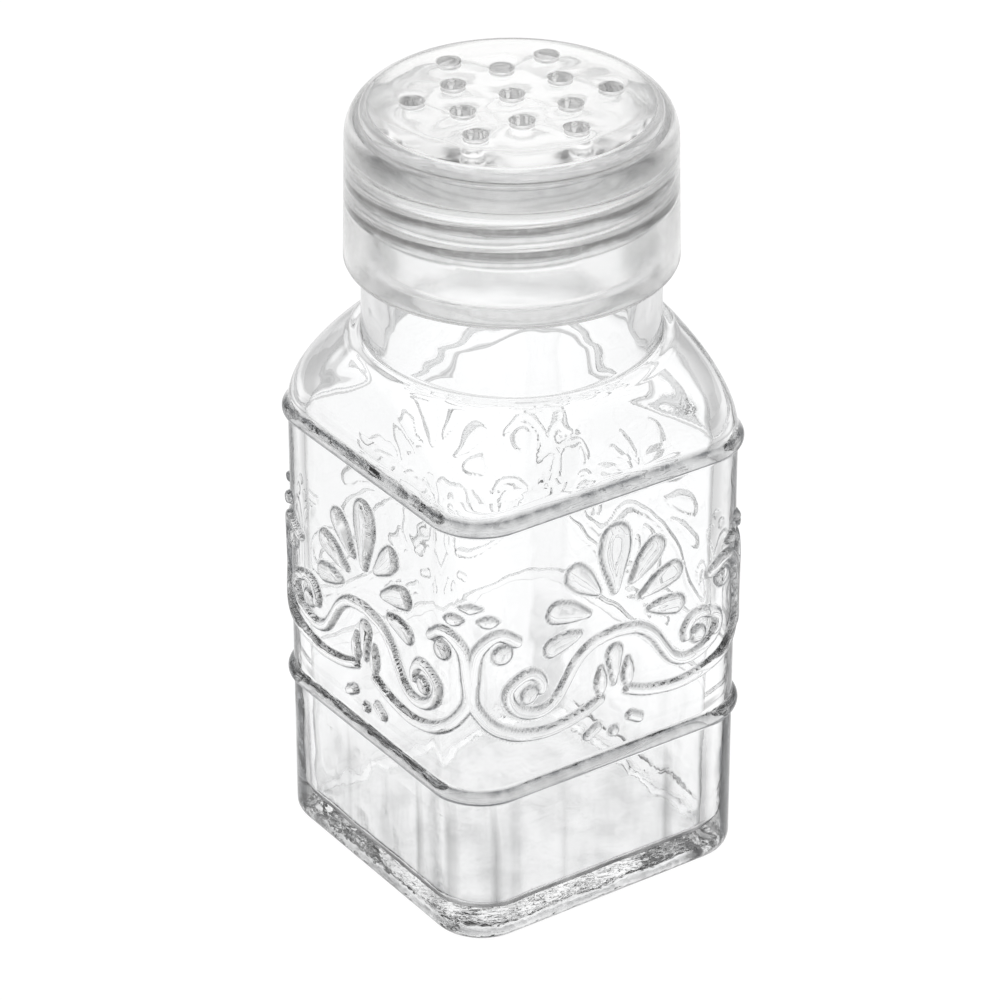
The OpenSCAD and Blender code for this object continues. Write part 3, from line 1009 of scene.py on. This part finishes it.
def cap_inside():
    """From the foot up the two bores, over the ledge and the chamber, and in to the plate."""
    points = [(SKIRT_BORE_R + 0.4, CAP_Z), (SKIRT_BORE_R + 0.1, CAP_Z + 0.1), (SKIRT_BORE_R, CAP_Z + 0.4)]
    for z in np.arange(CAP_Z + 1.0, SEAT_Z - 0.7, 0.5):
        points.append((SKIRT_BORE_R, z))
    points += [(SKIRT_BORE_R - 0.3, SEAT_Z - 0.2), (SEAT_BORE_R + 0.3, SEAT_Z + 0.1)]
    points += [(SEAT_BORE_R, SEAT_Z + 0.4), (SEAT_BORE_R, LEDGE_Z - 0.2), (SEAT_BORE_R - 0.1, LEDGE_Z)]
    points += [(CHAMBER_R + 0.2, LEDGE_Z), (CHAMBER_R, LEDGE_Z + 0.2)]
    for i in range(5):
        a = math.pi / 2 * i / 4
        z = UNDER_Z - CHAMBER_ROUND * (1 - math.sin(a))
        points.append((CHAMBER_R - CHAMBER_ROUND * (1 - math.cos(a)), z))
    return points + [(DISC_R, UNDER_Z)]


print("profile of the cap: %d points" % len(cap_outside() + cap_inside()))

# %% Turn the cap
CAP_STEPS = 192
CAP_THREAD_H = 0.8
CAP_THREAD_TURNS = 1.9
CAP_THREAD_POWER = 1.0
# Strengths of painted shade on the thread, the seat and the foot of the skirt, seen through the wall
CAP_THREAD_SHADE = 1.3
SEAT_SHADE = 0.5
FOOT_SHADE = 0.5
FOOT_SHADE_Z = 124.0


def turn_cap():
    bm = bmesh.new()
    for name in ("edge", "line"):
        bm.verts.layers.float.new(name)
    verts = [bm.verts.new((r, 0, z)) for r, z in cap_outside() + cap_inside()]
    edges = [bm.edges.new(pair) for pair in zip(verts, verts[1:])]
    bmesh.ops.spin(bm, geom=verts + edges, cent=(0, 0, 0), axis=(0, 0, 1), angle=2 * math.pi,
                   steps=CAP_STEPS, use_merge=True)
    return bm


def raise_cap_thread(bm):
    """Press the inner thread into the bore, and paint shade on it, the seat and the foot of the skirt."""
    x, y, z = np.array([v.co for v in bm.verts]).T
    radius = np.hypot(x, y)
    on_bore = (np.abs(radius - SKIRT_BORE_R) < 0.05) & (z > CAP_Z + 0.8) & (z < SEAT_Z - 0.5)
    start = THREAD_START + THREAD_PITCH / 2
    bulge = thread_height(np.arctan2(y, x), z, start, CAP_THREAD_TURNS, CAP_THREAD_H, CAP_THREAD_POWER)
    bulge = np.where(on_bore, bulge, 0)
    on_seat = (np.abs(radius - SEAT_BORE_R) < 0.2) & (z > SEAT_Z) & (z < LEDGE_Z)
    on_foot = (np.abs(radius - SKIRT_BORE_R) < 0.2) & (z < FOOT_SHADE_Z)
    line = np.where(on_seat, SEAT_SHADE, 0) + np.where(on_foot, FOOT_SHADE, 0)
    line = np.maximum(line, np.minimum(CAP_THREAD_SHADE * bulge / CAP_THREAD_H, 1))
    layer = bm.verts.layers.float["line"]
    for v, share, strength in zip(bm.verts, 1 - bulge / radius, line):
        v.co.x *= share
        v.co.y *= share
        v[layer] = strength


cap_mesh = turn_cap()
raise_cap_thread(cap_mesh)
print("turned cap: %d faces" % len(cap_mesh.faces))

# %% [markdown]
# ## Pouring holes
# Each hole starts as a circle on the plate. Its edge is extruded ring by ring
# through the plate, with a small round at both ends, and the flats above and
# below are then filled between the holes and the edge of the plate.

# %% Pierce the plate
HOLE_R = 2.1
HOLE_ROUND = 0.35
HOLE_SIDES = 48
# Strength of painted shade on the walls of the holes
HOLE_SHADE = 0.5
INNER_RING_R = 11.0
OUTER_RING_R = 17.6
RING_TURN = 4.6
HOLES_PER_RING = 6


def hole_places():
    places = [Vector((0, 0, 0))]
    for radius, turn in ((INNER_RING_R, RING_TURN), (OUTER_RING_R, RING_TURN + 180 / HOLES_PER_RING)):
        for i in range(HOLES_PER_RING):
            a = math.radians(turn + 360 / HOLES_PER_RING * i)
            places.append(Vector((radius * math.cos(a), radius * math.sin(a), 0)))
    return places


def hole_profile():
    """Radius and height down the wall of a hole, after its edge on top."""
    quarters = [math.pi / 2 * i / 4 for i in range(5)]
    upper = [(HOLE_R + HOLE_ROUND * (1 - math.sin(a)), CAP_TOP - HOLE_ROUND * (1 - math.cos(a)))
             for a in quarters[1:]]
    lower = [(HOLE_R + HOLE_ROUND * (1 - math.cos(a)), UNDER_Z + HOLE_ROUND * (1 - math.sin(a)))
             for a in quarters]
    return upper + lower


def pierce(bm, centre):
    """One hole's wall. Returns its edges on top of the plate and under it."""
    layer = bm.verts.layers.float["edge"]
    on_top = Matrix.Translation((centre.x, centre.y, CAP_TOP))
    made = bmesh.ops.create_circle(bm, segments=HOLE_SIDES, radius=HOLE_R + HOLE_ROUND, matrix=on_top)
    top_edges = [e for v in made["verts"] for e in v.link_edges if e.verts[0] == v]
    edges = top_edges
    for radius, z in hole_profile():
        grown = bmesh.ops.extrude_edge_only(bm, edges=edges)
        edges = [item for item in grown["geom"] if isinstance(item, bmesh.types.BMEdge)]
        for v in {v for e in edges for v in e.verts}:
            out = Vector((v.co.x - centre.x, v.co.y - centre.y, 0)).normalized() * radius
            v.co = (centre.x + out.x, centre.y + out.y, z)
            v[layer] = HOLE_SHADE
    return top_edges, edges


def rim_edges(bm, z):
    return [e for e in bm.edges if e.is_boundary and all(abs(v.co.z - z) < 1e-4 for v in e.verts)]


def pierce_plate(bm):
    top_edges = rim_edges(bm, CAP_TOP)
    under_edges = rim_edges(bm, UNDER_Z)
    for centre in hole_places():
        top, under = pierce(bm, centre)
        top_edges += top
        under_edges += under
    for edges in (top_edges, under_edges):
        bmesh.ops.triangle_fill(bm, use_beauty=True, edges=edges, normal=(0, 0, 1))
    bmesh.ops.remove_doubles(bm, verts=bm.verts, dist=0.0005)
    bmesh.ops.recalc_face_normals(bm, faces=bm.faces)


pierce_plate(cap_mesh)
print("pierced cap: %d faces, %d holes" % (len(cap_mesh.faces), len(hole_places())))

# %% [markdown]
# ## Clear plastic
# A moulded cap is clear too, but softer than glass: flow leaves faint swirls,
# and handling leaves fine scuffs, most of all on the side. Roughness therefore
# falls from the side to the top plate. Seen from outside, the walls of the holes
# and faces seen edge-on take a grey of painted shade, and the thread, the seat
# and the foot of the skirt show as bands of painted shade through the wall. The
# scuffs vary how dark the painted shade is.

# %% Plastic material
# Heights in metres between which the worn side gives way to the clear top
TOP_FADE = (0.145, 0.150)
CLEAR_PLASTIC = (0.995, 0.995, 0.992, 1)
# The colour that painted shade takes in the plastic
PLASTIC_SHADE_GREY = (0.12, 0.118, 0.115, 1)


def plastic_material():
    material = bpy.data.materials.new("clear moulded plastic")
    tree = Shader(material)
    place = tree.place()
    swirls = tree.noise(place, 80.0, 1.0)
    scuffs = tree.noise(place, 700.0, 4.0)
    bump = tree.bump(0.06, 0.0006, swirls + scuffs * 0.08)
    rough = tree.fade(tree.axis(place, "Z"), *TOP_FADE, 0.11, 0.02) + scuffs * 0.08
    far_side = tree.far_side()
    # Painted shade: from outside on faces seen edge-on and on the walls of the holes, and through the wall
    # on the thread, the seat and the foot of the skirt
    edge_on_shade = tree.ramp(tree.facing_away(bump), [(0.6, 0.0), (0.85, 0.2), (1.0, 0.5)])
    painted_shade = (tree.mark("edge") + edge_on_shade) * (1 - far_side) + tree.mark("line") * far_side
    colour = tree.mix((painted_shade * (scuffs * 0.6 + 0.7)).clamp(), CLEAR_PLASTIC, PLASTIC_SHADE_GREY)
    shader = tree.node("ShaderNodeBsdfPrincipled", {}, {
        "Base Color": colour, "Roughness": rough, "IOR": 1.49, "Transmission Weight": 1.0, "Normal": bump})
    tree.output("ShaderNodeOutputMaterial", shader)
    return material


PLASTIC = plastic_material()
hand_over(cap_mesh, "pierced_cap", PLASTIC, "screw_cap", "cap")

# %% [markdown]
# ## Size of the pieces
# The dressed pieces have to fill the same box as the solids that they replace.
